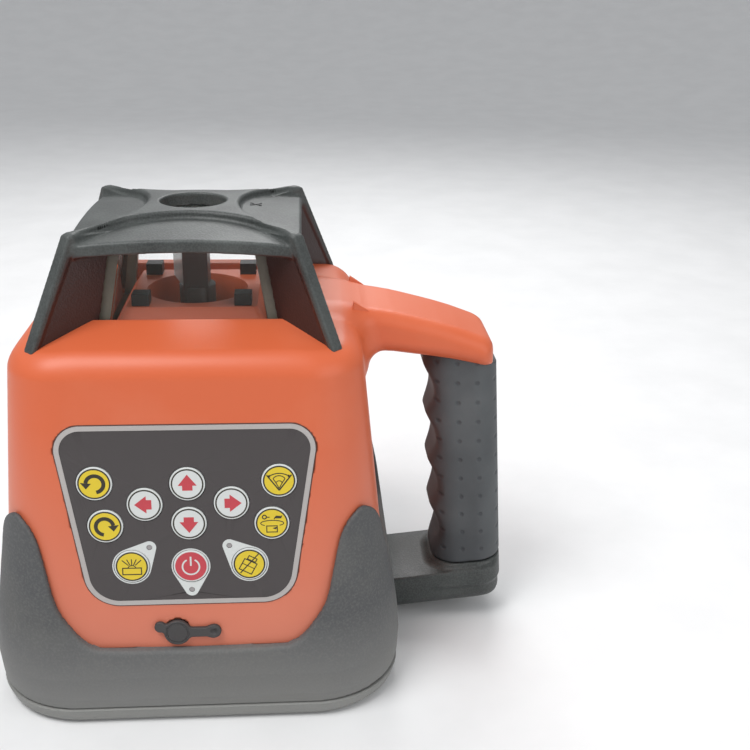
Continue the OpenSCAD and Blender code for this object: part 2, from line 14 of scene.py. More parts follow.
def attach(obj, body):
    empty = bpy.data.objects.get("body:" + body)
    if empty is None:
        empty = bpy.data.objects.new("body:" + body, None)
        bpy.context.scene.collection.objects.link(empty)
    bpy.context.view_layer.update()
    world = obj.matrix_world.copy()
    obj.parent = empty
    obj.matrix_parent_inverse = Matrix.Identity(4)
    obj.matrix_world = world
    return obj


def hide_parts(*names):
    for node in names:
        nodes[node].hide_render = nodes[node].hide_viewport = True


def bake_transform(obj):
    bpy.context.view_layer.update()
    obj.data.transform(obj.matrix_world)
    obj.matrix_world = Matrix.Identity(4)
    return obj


MM = 0.001
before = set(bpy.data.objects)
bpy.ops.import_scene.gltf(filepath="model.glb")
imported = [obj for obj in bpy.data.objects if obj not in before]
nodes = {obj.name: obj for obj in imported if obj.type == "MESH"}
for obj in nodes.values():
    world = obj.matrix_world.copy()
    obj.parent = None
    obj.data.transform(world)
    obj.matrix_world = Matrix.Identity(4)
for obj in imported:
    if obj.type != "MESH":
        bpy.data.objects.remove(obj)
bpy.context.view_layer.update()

# ------------------------------------------------------------------ driving sizes, mm

TAPER = math.radians(6)
BODY_HALF = 79.1
FOOT_Z, SHOULDER_Z, DECK_Z = 8.5, 138.0, 150.0
LID_SLOPE, LID_SCALE = 0.221, 0.976
WALL = 3.0
OPENING_HALF = 36.5
ARM_HALF = 19.5
PANEL_Z = 86.0
PLUG_Z = 39.4
ROOF_HALF, ROOF_FLOOR, ROOF_TOP = 42.0, 179.5, 187.0
ROOF_BALL = 500.0
HUB_R = 12.7
GRIP_FOOT, GRIP_LEAN = (113.8, 27.5), math.radians(4.3)
ARM_FOOT = (80.6, 9.2)
KEY_R, KEY_TOP, KEY_FOOT = 6.4, 0.5, -2.9
RING_R, FACE_R, RED_FACE_R = 5.85, 5.3, 5.75
PRINT_SUNK, PRINT_RAISED, SIGN_RAISED = 0.1, 0.03, 0.06
BOOT_FOOT, BOOT_TOP, BASE_TOP = 7.6, 86.4, 7.45
BASE_CORNER = 33.5
FIN_HALF, RIB_HALF = 2.0, 2.5
ARM_MIDDLE, ARM_REACH = 80.2, 41.3
GRIP_MIDDLE, GRIP_HALF_U, GRIP_HALF_V, GRIP_CORNER = 0.3, 15.5, 16.5, 12.0
FINGER_PITCH = 22.0
PLUG_X, ANCHOR_X, TAB_X = -6.0, 7.6, -12.4
BOSS_Z, BOSS_R, BOSS_CLEAR_R = 45.0, 14.0, 15.2
SCREW_XY = 58.0
HINGE_X, HINGE_Z, BAY_HALF = -69.0, 3.0, 48.0
HINGE_BLOCK_Y, HINGE_PIN_END = 51.0, 52.0

# The gloss and the painted reddish reflection on a fin's sides end at its outer edge, which leans inwards
# by this much for each metre of height, and at the roof; each change runs from one distance to the other,
# in metres.
FIN_EDGE_SLOPE = 0.5106
FIN_EDGE_START, FIN_EDGE_END = 0.2917, 0.293
FIN_TOP_START, FIN_TOP_END = 0.1756, 0.1764


def half_at(z):
    """Half width of the tapered walls at height z."""
    return BODY_HALF - z * math.tan(TAPER)


# ------------------------------------------------------------------ distance functions


def cut(a, b, r):
    """What a and b share, with its edge rounded to radius r."""
    return np.minimum(np.maximum(a, b), -r) + np.hypot(np.maximum(a + r, 0), np.maximum(b + r, 0))


def join(a, b, r):
    """a and b together, with a fillet of radius r between them."""
    return -cut(-a, -b, r)


def box2(u, v, half_u, half_v, r):
    """Rectangle with corners of radius r."""
    a, b = np.abs(u) - half_u + r, np.abs(v) - half_v + r
    return np.hypot(np.maximum(a, 0), np.maximum(b, 0)) + np.minimum(np.maximum(a, b), 0) - r


def tilted(x, z, foot, angle):
    """Coordinates along and above a line through foot that rises at this angle."""
    a, b = x - foot[0], z - foot[1]
    return a * math.cos(angle) + b * math.sin(angle), b * math.cos(angle) - a * math.sin(angle)


def soften(points, times=2):
    """Closed outline with its corners cut back into curves."""
    p = np.array(points, float)
    for _ in range(times):
        q = np.roll(p, -1, axis=0)
        p = np.stack([0.75 * p + 0.25 * q, 0.25 * p + 0.75 * q], 1).reshape(-1, 2)
    return p


def outline(points, pad=14.0, step=0.4):
    """Distance to a closed outline, looked up in a fine table."""
    p = np.array(points, float)
    low, high = p.min(0) - pad, p.max(0) + pad
    us, vs = (np.arange(low[i], high[i] + step, step) for i in (0, 1))
    u, v = np.meshgrid(us, vs, indexing="ij")
    best, inside = np.full(u.shape, 1e9), np.zeros(u.shape, bool)
    for (ax, ay), (bx, by) in zip(p, np.roll(p, -1, axis=0)):
        ex, ey = bx - ax, by - ay
        t = np.clip(((u - ax) * ex + (v - ay) * ey) / (ex * ex + ey * ey), 0, 1)
        best = np.minimum(best, np.hypot(u - ax - t * ex, v - ay - t * ey))
        inside ^= ((ay > v) != (by > v)) & (u < ex * (v - ay) / (ey or 1e-9) + ax)
    table = np.where(inside, -best, best)

    def distance(u, v):
        cu, cv = np.clip(u, low[0], us[-1]), np.clip(v, low[1], vs[-1])
        a, b = (cu - low[0]) / step, (cv - low[1]) / step
        i = np.minimum(a.astype(int), len(us) - 2)
        j = np.minimum(b.astype(int), len(vs) - 2)
        a, b = a - i, b - j
        near = table[i, j] * (1 - a) * (1 - b) + table[i + 1, j] * a * (1 - b)
        near += table[i, j + 1] * (1 - a) * b + table[i + 1, j + 1] * a * b
        return near + np.hypot(u - cu, v - cv)

    return distance


def hull_outline(circles):
    """Closed outline stretched round circles given as (u, v, radius)."""
    turns = np.linspace(0, 2 * math.pi, 240, endpoint=False)
    way = np.stack([np.cos(turns), np.sin(turns)], 1)
    reach = np.stack([way @ np.array(c[:2]) + c[2] for c in circles])
    best = reach.argmax(0)
    return [np.array(circles[k][:2]) + circles[k][2] * way[i] for i, k in enumerate(best)]


# ------------------------------------------------------------------ mesher


def slope(field, p):
    """Distance and its gradient at points p."""
    e = 0.04
    steps = np.eye(3) * e
    grad = [field(*(p + s).T) - field(*(p - s).T) for s in steps]
    return field(*p.T), np.stack(grad, 1) / (2 * e)


def settle(field, p, reach):
    """Points p moved onto the surface where the field is zero."""
    for _ in range(3):
        d, g = slope(field, p)
        move = g * (d / np.maximum((g * g).sum(1), 0.3))[:, None]
        p = p - np.clip(move, -reach, reach)
    return p


def sample(field, low, high, step, block=4):
    """Field values on a grid, worked out only in the blocks near the surface."""
    reach = step * block
    count = np.ceil((np.array(high) - low) / reach).astype(int)
    spots = np.stack(np.meshgrid(*[np.arange(n) for n in count], indexing="ij"), -1)
    corner = np.array(low) + spots * reach
    centre = (corner + reach / 2 - step / 2).reshape(-1, 3)
    rough = field(*centre.T).reshape(count)
    values = np.where(rough < 0, -1.0, 1.0)
    for axis in range(3):
        values = np.repeat(values, block, axis)
    blocks = values.reshape(count[0], block, count[1], block, count[2], block).transpose(0, 2, 4, 1, 3, 5)
    near = np.abs(rough) < reach * 1.4
    inner = np.stack(np.meshgrid(*[np.arange(block) * step] * 3, indexing="ij"), -1)
    fine = corner[near][:, None, None, None] + inner[None]
    blocks[near] = field(*fine.reshape(-1, 3).T).reshape(fine.shape[:-1])
    return values


def net(field, low, high, step):
    """Vertices and faces of the surface where the field is zero."""
    values = sample(field, low, high, step)
    inside = values < 0
    size = np.array(values.shape)
    corners = [np.array(c) for c in np.ndindex(2, 2, 2)]
    windows = [tuple(slice(c[i], size[i] - 1 + c[i]) for i in range(3)) for c in corners]
    total = sum(inside[window].astype(int) for window in windows)
    mixed = (total > 0) & (total < 8)
    cells = np.argwhere(mixed)
    number = np.full(mixed.shape, -1)
    number[mixed] = np.arange(len(cells))
    at = [values[tuple((cells + c).T)] for c in corners]
    middle, crossings = np.zeros((len(cells), 3)), np.zeros(len(cells))
    for i, a in enumerate(corners):
        for j, b in enumerate(corners):
            if i < j and np.abs(a - b).sum() == 1:
                crosses = (at[i] < 0) != (at[j] < 0)
                t = np.where(crosses, at[i] / np.where(crosses, at[i] - at[j], 1), 0)
                middle += np.where(crosses[:, None], a + t[:, None] * (b - a), 0)
                crossings += crosses
    points = np.array(low) + (cells + middle / crossings[:, None]) * step
    faces = []
    for axis in range(3):
        step_a, step_b, step_c = (np.eye(3, dtype=int)[(axis + k) % 3] for k in range(3))
        first = inside[tuple(slice(0, size[i] - step_a[i]) for i in range(3))]
        second = inside[tuple(slice(step_a[i], size[i]) for i in range(3))]
        p = np.argwhere(first != second)
        for side in ((axis + 1) % 3, (axis + 2) % 3):
            p = p[(p[:, side] > 0) & (p[:, side] < size[side] - 1)]
        ring = [p, p - step_b, p - step_b - step_c, p - step_c]
        quad = np.stack([number[tuple(r.T)] for r in ring], 1)
        out = inside[tuple(p.T)]
        faces.append(np.where(out[:, None], quad, quad[:, ::-1]))
    return settle(field, points, step * 0.6), np.concatenate(faces)


def new_object(name, vertices, faces):
    """Object in the scene from vertices in millimetres."""
    mesh = bpy.data.meshes.new(name)
    mesh.from_pydata(np.asarray(vertices) * MM, [], [list(face) for face in faces])
    obj = bpy.data.objects.new(name, mesh)
    bpy.context.scene.collection.objects.link(obj)
    return obj


def applied(obj):
    """obj with its modifiers made part of its mesh."""
    graph = bpy.context.evaluated_depsgraph_get()
    mesh = bpy.data.meshes.new_from_object(obj.evaluated_get(graph))
    obj.modifiers.clear()
    obj.data = mesh
    return obj


def moulded(name, field, low, high, step, keep, material, body, *stands_for):
    """Smooth moulded piece from a distance function, thinned to the share of faces in keep.

    It rides body, if one is given, and replaces the CAD nodes named after it.
    """
    obj = new_object(name, *net(field, low, high, step))
    thin = obj.modifiers.new("thin", "DECIMATE")
    thin.ratio = keep
    applied(obj)
    mesh = obj.data
    points = np.zeros(len(mesh.vertices) * 3)
    mesh.vertices.foreach_get("co", points)
    points = settle(field, points.reshape(-1, 3) / MM, step * 0.3)
    mesh.vertices.foreach_set("co", (points * MM).ravel())
    normals = slope(field, points)[1]
    normals /= np.maximum(np.linalg.norm(normals, axis=1), 1e-9)[:, None]
    mesh.shade_smooth()
    mesh.normals_split_custom_set_from_vertices(normals.tolist())
    mesh.materials.append(material)
    if body:
        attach(obj, body)
    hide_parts(*stands_for)
    return obj


# ------------------------------------------------------------------ materials


def node_material(name):
    material = bpy.data.materials.new(name)
    material.use_nodes = True
    tree = material.node_tree
    shader = tree.nodes["Principled BSDF"]
    place = tree.nodes.new("ShaderNodeTexCoord")
    return material, tree, shader, place.outputs["Object"]


def noise(tree, place, scale, detail=3.0):
    texture = tree.nodes.new("ShaderNodeTexNoise")
    texture.inputs["Scale"].default_value = scale
    texture.inputs["Detail"].default_value = detail
    tree.links.new(place, texture.inputs["Vector"])
    return texture.outputs["Fac"]


def ramp(tree, value, low, high, start, end):
    """Value mapped from low..high onto start..end, either two numbers or two colours."""
    spread = tree.nodes.new("ShaderNodeMapRange")
    spread.inputs["From Min"].default_value = low
    spread.inputs["From Max"].default_value = high
    tree.links.new(value, spread.inputs["Value"])
    if isinstance(start, tuple):
        return mixed(tree, spread.outputs["Result"], start, end)
    spread.inputs["To Min"].default_value = start
    spread.inputs["To Max"].default_value = end
    return spread.outputs["Result"]


def mixed(tree, share, a, b):
    """Colours a and b mixed; each is a colour or another node's output."""
    mix = tree.nodes.new("ShaderNodeMix")
    mix.data_type = "RGBA"
    wanted = [s for s in mix.inputs if s.type == "RGBA"]
    for socket, colour in zip(wanted, (a, b)):
        if isinstance(colour, tuple):
            socket.default_value = (*colour, 1)
        else:
            tree.links.new(colour, socket)
    if isinstance(share, float):
        mix.inputs["Factor"].default_value = share
    else:
        tree.links.new(share, mix.inputs["Factor"])
    return [s for s in mix.outputs if s.type == "RGBA"][0]


def shade(colour, factor):
    return tuple(min(1.0, c * factor) for c in colour)


def axes_of(tree, place):
    """The three coordinates of a place, as a node's outputs X, Y and Z."""
    split = tree.nodes.new("ShaderNodeSeparateXYZ")
    tree.links.new(place, split.inputs["Vector"])
    return split.outputs


def arithmetic(tree, operation, *values):
    """Output of a math node; each value is a number or another node's output."""
    result = tree.nodes.new("ShaderNodeMath")
    result.operation = operation
    for socket, value in zip(result.inputs, values):
        if isinstance(value, float):
            socket.default_value = value
        else:
            tree.links.new(value, socket)
    return result.outputs[0]


def dented(tree, shader, height, strength, depth, under=None):
    """Bump of this depth in metres on the shader, laid over an earlier bump if one is given."""
    dents = tree.nodes.new("ShaderNodeBump")
    dents.inputs["Strength"].default_value = strength
    dents.inputs["Distance"].default_value = depth
    tree.links.new(height, dents.inputs["Height"])
    if under is not None:
        tree.links.new(under, dents.inputs["Normal"])
    tree.links.new(dents.outputs["Normal"], shader.inputs["Normal"])
    return dents.outputs["Normal"]


def finish_of(name, colour, rough, grain=1500.0, fleck=0.05, bump=0.05, metal=0.0, cloud=0.04):
    """Material with fine grain, slow colour drift and uneven roughness."""
    material, tree, shader, place = node_material(name)
    fine, slow = noise(tree, place, grain), noise(tree, place, 22.0, 4.0)
    base = ramp(tree, fine, 0.3, 0.7, shade(colour, 1 - fleck), shade(colour, 1 + fleck))
    drift = ramp(tree, slow, 0.35, 0.65, shade(colour, 1 - cloud), shade(colour, 1 + cloud))
    tree.links.new(mixed(tree, 0.5, base, drift), shader.inputs["Base Color"])
    tree.links.new(ramp(tree, slow, 0.3, 0.7, rough - 0.05, rough + 0.05), shader.inputs["Roughness"])
    shader.inputs["Metallic"].default_value = metal
    dented(tree, shader, fine, bump, 0.00015)
    return material


def srgb(r, g, b):
    """Linear colour of an 8-bit screen colour."""
    return tuple(((c / 255 + 0.055) / 1.055) ** 2.4 if c > 10 else c / 255 / 12.92 for c in (r, g, b))


def orange_shell():
    """Moulded orange plastic with lighter scuffed patches, paler towards its foot as a painted haze of
    light.
    """
    material, tree, shader, place = node_material("orange_shell")
    upper_orange, pale = srgb(208, 99, 60), srgb(206, 120, 96)
    # Paler towards the foot: a painted haze of light.
    low = ramp(tree, axes_of(tree, place)["Z"], 0.03, 0.12, pale, upper_orange)
    slow = noise(tree, place, 18.0, 5.0)
    scuff = ramp(tree, slow, 0.52, 0.72, 0.0, 0.22)
    tree.links.new(mixed(tree, scuff, low, srgb(218, 134, 106)), shader.inputs["Base Color"])
    tree.links.new(ramp(tree, slow, 0.3, 0.7, 0.36, 0.48), shader.inputs["Roughness"])
    shader.inputs["Specular IOR Level"].default_value = 0.45
    dented(tree, shader, noise(tree, place, 1400.0), 0.12, 0.0002)
    return material


def rubber_dust_and_painted_haze():
    """Dark grey rubber with specks and clouds of dust, paler near the ground as a painted haze of light."""
    material, tree, shader, place = node_material("rubber_dust_and_painted_haze")
    dark, painted_haze_grey = srgb(76, 77, 78), srgb(122, 122, 120)
    # Paler near the ground: a painted haze of light.
    body = ramp(tree, axes_of(tree, place)["Z"], 0.008, 0.045, painted_haze_grey, dark)
    grain = noise(tree, place, 1100.0, 5.0)
    cloud = noise(tree, place, 30.0, 6.0)
    dust = ramp(tree, cloud, 0.48, 0.75, 0.0, 0.35)
    speck = mixed(tree, ramp(tree, grain, 0.45, 0.75, 0.0, 0.25), body, srgb(128, 127, 124))
    tree.links.new(mixed(tree, dust, speck, srgb(118, 117, 112)), shader.inputs["Base Color"])
    tree.links.new(ramp(tree, cloud, 0.3, 0.7, 0.62, 0.78), shader.inputs["Roughness"])
    dented(tree, shader, grain, 0.25, 0.0003)
    return material


def fin_side_mask(tree, place):
    """1 on the broad faces of the fins, 0 on the roof and along the fins' outer edges."""
    axes = axes_of(tree, place)
    total = axes["Z"]
    for axis in ("X", "Y"):
        size = arithmetic(tree, "ABSOLUTE", axes[axis])
        total = arithmetic(tree, "MULTIPLY_ADD", size, math.sqrt(0.5) / FIN_EDGE_SLOPE, total)
    within = ramp(tree, total, FIN_EDGE_START, FIN_EDGE_END, 1.0, 0.0)
    below = ramp(tree, axes["Z"], FIN_TOP_START, FIN_TOP_END, 1.0, 0.0)
    return arithmetic(tree, "MULTIPLY", within, below)


def spark_plastic(name, fins):
    """Dark moulded plastic with a pebbled surface and dust on its high spots; the fins' sides are glossier
    and carry a painted reddish reflection.
    """
    material, tree, shader, place = node_material(name)
    pebble = tree.nodes.new("ShaderNodeTexVoronoi")
    pebble.inputs["Scale"].default_value = 1300.0
    tree.links.new(place, pebble.inputs["Vector"])
    cloud = noise(tree, place, 45.0, 6.0)
    dark, worn = srgb(46, 49, 48), srgb(72, 76, 74)
    base = ramp(tree, cloud, 0.4, 0.72, dark, worn)
    fleck = ramp(tree, pebble.outputs["Distance"], 0.3, 0.75, 0.0, 0.3)
    colour = mixed(tree, fleck, base, srgb(90, 95, 93))
    rough = ramp(tree, cloud, 0.3, 0.7, 0.42, 0.58)
    if fins:
        mask = fin_side_mask(tree, place)
        # The fins' broad faces turn reddish brown: a painted reflection.
        colour = mixed(tree, mask, colour, srgb(52, 37, 35))
        rough = ramp(tree, mask, 0.0, 1.0, 0.5, 0.3)
    tree.links.new(colour, shader.inputs["Base Color"])
    tree.links.new(rough, shader.inputs["Roughness"])
    dented(tree, shader, pebble.outputs["Distance"], 0.3, 0.0002)
    return material


def wave(tree, value, period, offset=0.0):
    """Distance of a coordinate from the nearest multiple of period, in metres."""
    return arithmetic(tree, "PINGPONG", arithmetic(tree, "ADD", value, offset), period / 2)


def grip_rubber():
    """Blue-grey rubber with rows of small dimples."""
    material, tree, shader, place = node_material("grip_rubber")
    axes = axes_of(tree, place)
    along = wave(tree, axes["Z"], 0.0088)
    lean = arithmetic(tree, "MULTIPLY_ADD", axes["Z"], math.tan(GRIP_LEAN), axes["X"])
    across = wave(tree, lean, 0.0082, 0.0012)
    far = tree.nodes.new("ShaderNodeVectorMath")
    far.operation = "LENGTH"
    pair = tree.nodes.new("ShaderNodeCombineXYZ")
    tree.links.new(along, pair.inputs["X"])
    tree.links.new(across, pair.inputs["Y"])
    tree.links.new(pair.outputs["Vector"], far.inputs[0])
    dimple = ramp(tree, far.outputs["Value"], 0.0005, 0.0013, 0.0, 1.0)
    cloud = noise(tree, place, 34.0, 6.0)
    base = ramp(tree, cloud, 0.35, 0.7, srgb(60, 63, 66), srgb(84, 87, 89))
    shadow = ramp(tree, dimple, 0.0, 1.0, 0.45, 0.0)
    tree.links.new(mixed(tree, shadow, base, srgb(34, 36, 42)), shader.inputs["Base Color"])
    tree.links.new(ramp(tree, cloud, 0.3, 0.7, 0.5, 0.62), shader.inputs["Roughness"])
    dimples = dented(tree, shader, dimple, 0.6, 0.0006)
    dented(tree, shader, noise(tree, place, 1300.0), 0.15, 0.0002, dimples)
    return material


def clear_glass(name, tint, alpha, rough):
    """Thin clear glass with faint smears."""
    material, tree, shader, place = node_material(name)
    smear = noise(tree, place, 60.0, 4.0)
    tree.links.new(ramp(tree, smear, 0.4, 0.8, tint, shade(tint, 0.9)), shader.inputs["Base Color"])
    tree.links.new(ramp(tree, smear, 0.35, 0.75, alpha * 0.8, alpha * 1.4), shader.inputs["Alpha"])
    shader.inputs["Roughness"].default_value = rough
    shader.inputs["Specular IOR Level"].default_value = 0.8
    return material


ORANGE = orange_shell()
SKIRT = rubber_dust_and_painted_haze()
SPARK = spark_plastic("spark_plastic", False)
ROOF = spark_plastic("roof_plastic", True)
GRIP = grip_rubber()
BASE = finish_of("base_grey", srgb(134, 134, 131), 0.55, fleck=0.07, bump=0.12)
PANEL = finish_of("panel_film", srgb(66, 61, 61), 0.42, grain=2600.0, fleck=0.05, bump=0.04)
BORDER = finish_of("border_silver", srgb(172, 167, 164), 0.38, fleck=0.05, cloud=0.06)
# Dark colour for the gap round the keypad panel: a painted shadow.
PAINTED_GAP_SHADOW = finish_of("painted_gap_shadow", srgb(92, 60, 52), 0.7)
WHITE = finish_of("print_white", srgb(206, 209, 207), 0.4, grain=2600.0, fleck=0.03, cloud=0.03)
YELLOW = finish_of("print_yellow", srgb(216, 190, 42), 0.4, grain=2600.0, fleck=0.04, cloud=0.05)
RED = finish_of("print_red", srgb(188, 62, 72), 0.42, grain=2600.0, fleck=0.05, cloud=0.05)
INK = finish_of("print_ink", srgb(46, 42, 30), 0.5, grain=2600.0)
PLUG = finish_of("plug_rubber", srgb(62, 60, 60), 0.6, fleck=0.12, bump=0.2)
BLACK = finish_of("black_plastic", srgb(28, 27, 29), 0.42, fleck=0.2, bump=0.15)
HEAD = finish_of("head_black", srgb(62, 46, 44), 0.4, fleck=0.12, bump=0.06)
STEEL = finish_of("steel", srgb(176, 178, 182), 0.3, grain=900.0, metal=1.0, bump=0.04)
ALUMINIUM = finish_of("aluminium", srgb(190, 192, 196), 0.42, grain=1100.0, metal=1.0, bump=0.15)
BRASS = finish_of("brass", srgb(176, 150, 100), 0.36, grain=900.0, metal=1.0, bump=0.04)
BOARD = finish_of("board_green", srgb(28, 92, 48), 0.35, grain=400.0, fleck=0.25)
SLEEVE = finish_of("battery_sleeve", srgb(60, 118, 158), 0.3, fleck=0.05)
BELT = finish_of("belt_rubber", srgb(30, 30, 30), 0.7, fleck=0.15)
LED = finish_of("led_lens", srgb(150, 146, 146), 0.25, fleck=0.05)
GLASS = clear_glass("pane_glass", srgb(200, 214, 206), 0.03, 0.04)
GROUND = finish_of("ground_glass", srgb(106, 103, 92), 0.3, grain=700.0, fleck=0.12, bump=0.08)
PRISM = clear_glass("prism_glass", srgb(214, 222, 220), 0.55, 0.1)

# ------------------------------------------------------------------ moulded shapes

ARM_OUTLINE = soften([
    (46, 128), (65.6, 122.6), (67.4, 126.2), (71.3, 128.2), (76, 128.7), (86.5, 127.2), (97, 125.8),
    (105, 124.2), (117, 121.5), (121.7, 119.2), (121.5, 124), (121.2, 129.4), (119.6, 132.4),
    (113.7, 134.8), (101.7, 139.3), (84.5, 143.9), (76, 145.9), (62, 148), (46, 147),
], 1)
PANEL_CIRCLES = [(s * u, v, r) for s in (-1, 1) for u, v, r in ((36.9, 25.9, 9.5), (26.2, -22.4, 13.0))]
SKIRT_WINDOW = soften([
    (-60, 33), (33, 33), (39.5, 35.4), (44.8, 41.8), (48.4, 47.5), (50.5, 52), (52.4, 61.8),
    (55, 75.5), (57, 79.8), (59.5, 82.8), (63, 85.5), (66, 86.6), (100, 86.8), (100, 130), (-60, 130),
])
FIN_OUTLINE = [(50.7, 139), (40.6, 179.5), (40.6, 182), (57.6, 182.8), (76.9, 145), (76.9, 141), (74, 139)]
RIB_OUTLINE = [(55, 180.5), (55.6, 182.9), (58, 182.9), (77.3, 145), (77.3, 141), (74.6, 141), (74.6, 145)]
SKIRT_Z = [BOOT_FOOT, 12, 22, 33, 44, 65, BOOT_TOP]
SKIRT_HALF = [79.3, 79.9, 80.2, 79.2, 77.6, 74.4, half_at(BOOT_TOP) + 1.7]
SKIRT_CORNER_Z, SKIRT_CORNER = [BOOT_FOOT, 22, 44, BOOT_TOP], [34, 32.5, 30, 26]
BASE_Z = [0, 2.6, 7.5]
BASE_HALF = [76.8, 78.8, 79.9]

arm_side = outline(ARM_OUTLINE)
panel_edge = outline(hull_outline(PANEL_CIRCLES), pad=6)
skirt_window = outline(SKIRT_WINDOW)
fin_side = outline(FIN_OUTLINE, pad=8)
rib_side = outline(RIB_OUTLINE, pad=8)


def walls(x, y, z):
    """Tapered outside of the housing, whose corners tighten towards the top."""
    half = half_at(z)
    return box2(x, y, half, half, np.interp(z, [FOOT_Z, SHOULDER_Z], [33, 20.5])) * math.cos(TAPER)


def lid(x, y, z):
    """Shallow slope from the raised edge of the opening down to the shoulder."""
    out = np.maximum(box2(x, y, OPENING_HALF + 3, OPENING_HALF + 3, 4), -3)
    return (z - DECK_Z + LID_SLOPE * out) * LID_SCALE


def face_axes(y, z):
    """Height along the keypad face and distance out of it."""
    a, b = y + half_at(PANEL_Z), z - PANEL_Z
    return a * math.sin(TAPER) + b * math.cos(TAPER), b * math.sin(TAPER) - a * math.cos(TAPER)


def housing(x, y, z):
    """Hollow tapered shell with its arm, and its openings for lantern, keypad, inlet and side thread."""
    wall, roof = walls(x, y, z), lid(x, y, z)
    arm = cut(arm_side(x, z), box2(x - ARM_MIDDLE, y, ARM_REACH, ARM_HALF, 8), 6)
    outer = join(cut(wall, roof, 7), arm, 9)
    hollow = cut(wall + WALL, roof + WALL, 5)
    shell = np.maximum(outer, -hollow)
    sill = np.maximum(box2(x, y, OPENING_HALF + 4, OPENING_HALF + 4, 5), 135.5 - z)
    shell = np.minimum(shell, np.maximum(outer, sill))
    shell = cut(shell, -box2(x, y, OPENING_HALF, OPENING_HALF, 2), 1.0)
    up, out = face_axes(y, z)
    shell = np.maximum(shell, -np.maximum(panel_edge(x, up), -1.7 - out))
    shell = np.maximum(shell, -np.maximum(panel_edge(x, up) + 3, -9 - out))
    socket = np.maximum(np.hypot(x - PLUG_X, up + 46.85) - 4.7, -9 - out)
    shell = np.maximum(shell, -socket)
    boss = np.maximum(np.hypot(y, z - BOSS_Z) - BOSS_R, x + 50)
    shell = np.maximum(shell, -boss)
    return cut(shell, FOOT_Z - z, 0.6)


def skirt(x, y, z):
    """Rubber boot: a skin over the walls with a wide window on each side."""
    half = np.interp(z, SKIRT_Z, SKIRT_HALF)
    outer = box2(x, y, half, half, np.interp(z, SKIRT_CORNER_Z, SKIRT_CORNER)) * 0.99
    d = cut(outer, -skirt_window(np.abs(x), z), 1.5)
    d = cut(d, -skirt_window(np.abs(y), z), 1.5)
    d = cut(d, BOOT_FOOT - z, 0.8)
    d = np.maximum(d, 0.1 - walls(x, y, z))
    return np.maximum(d, -np.maximum(np.hypot(y, z - BOSS_Z) - BOSS_CLEAR_R, x))


def base(x, y, z):
    """Hollow tray with its tripod boss, screw bosses, frame posts and battery bay."""
    half = np.interp(z, BASE_Z, BASE_HALF)
    d = cut(box2(x, y, half, half, BASE_CORNER) * 0.99, -z, 1.2)
    d = cut(d, z - BASE_TOP, 0.5)
    d = np.maximum(d, -np.maximum(box2(x, y, 72.5, 72.5, 27), 3.8 - z))
    far = np.hypot(x, y)
    screw = np.hypot(np.abs(x) - SCREW_XY, np.abs(y) - SCREW_XY)
    post = np.hypot(np.where(x > 14, x - 36, x + 8), np.abs(y) - 44)
    block = box2(x - HINGE_X, np.abs(y) - HINGE_BLOCK_Y, 4, 3, 0.5)
    for solid, top in ((far - 15, 19), (screw - 6.5, BASE_TOP), (post - 5, 34), (block, BASE_TOP)):
        d = np.minimum(d, np.maximum(solid, np.maximum(z - top, -z)))
    thread = far - 11.1 + np.maximum(z - 16, 0) * 50
    bay = np.maximum(box2(x + 44, y, 27, BAY_HALF, 0.5), z - 12)
    lip = np.maximum(box2(x + 67.6, y, 5, BAY_HALF, 0.5), z - 4.8)
    head = np.maximum(screw - 3.8, z - 3.9)
    pins = np.maximum(np.hypot(x - HINGE_X, z - HINGE_Z) - 1.56, np.abs(y) - HINGE_PIN_END)
    for hole in (thread, bay, lip, head, pins):
        d = np.maximum(d, -hole)
    return d


def roof(x, y, z):
    """Square plate under a shallow ball, scalloped on its sides, with a hub hole and four corner fins."""
    a, b = np.abs(x), np.abs(y)
    far = np.hypot(x, y)
    square = box2(x, y, ROOF_HALF, ROOF_HALF, 3.5)
    sag = z + 0.0014 * (far**2 - ROOF_HALF**2)
    plate = cut(cut(square, sag - 181.6, 1.2), 176.7 - sag, 1.0)
    ball = np.sqrt(far**2 + (z - ROOF_TOP + ROOF_BALL) ** 2) - ROOF_BALL
    scallop = np.hypot(np.maximum(a, b) - 60, np.minimum(a, b)) - 42
    star = cut(cut(cut(square, ball, 1.5), -scallop, 1.6), 177 - z, 0.5)
    out, side = (a + b) / math.sqrt(2), (a - b) / math.sqrt(2)
    fin = cut(fin_side(out, z), np.abs(side) - FIN_HALF, 0.4)
    rib = cut(rib_side(out, z), np.abs(side) - RIB_HALF, 0.8)
    d = join(plate, star, 1.6)
    pocket = np.maximum(box2(x, y, 38.5, 38.5, 1), z - ROOF_FLOOR)
    d = np.maximum(d, -pocket)
    d = join(join(d, fin, 0.8), rib, 1.0)
    d = cut(d, HUB_R - far, 1.0)
    return np.maximum(d, -np.maximum(far - HUB_R - 1, z - 181.6))


def foot_arm(x, y, z):
    """Rising arm with bevelled flanks and a collar round the grip's foot."""
    along, up = tilted(x, z, ARM_FOOT, TAPER)
    d = box2(along - 18, y, 30.8, ARM_HALF, 10)
    flank = ((np.abs(y) - ARM_HALF) * 5 - up * 6) / math.hypot(5, 6)
    end = ((along - 48.8) * 5 - up * 8) / math.hypot(5, 8)
    under = cut(cut(flank, end, 3), -5 - up, 2)
    d = cut(cut(d, under, 1.5), up - 13, 1.5)
    g, s = tilted(x, z, GRIP_FOOT, GRIP_LEAN)
    flare = np.clip(0.6 - s, 0, 9)
    half_u, half_v = GRIP_HALF_U + 0.43 * flare, GRIP_HALF_V + 0.42 * flare
    collar = box2(g - GRIP_MIDDLE + 0.5 * flare, y, half_u, half_v, GRIP_CORNER) * 0.8
    collar = cut(cut(collar, s - 0.6, 0.8), -9 - s, 1)
    return join(d, collar, 1.2)


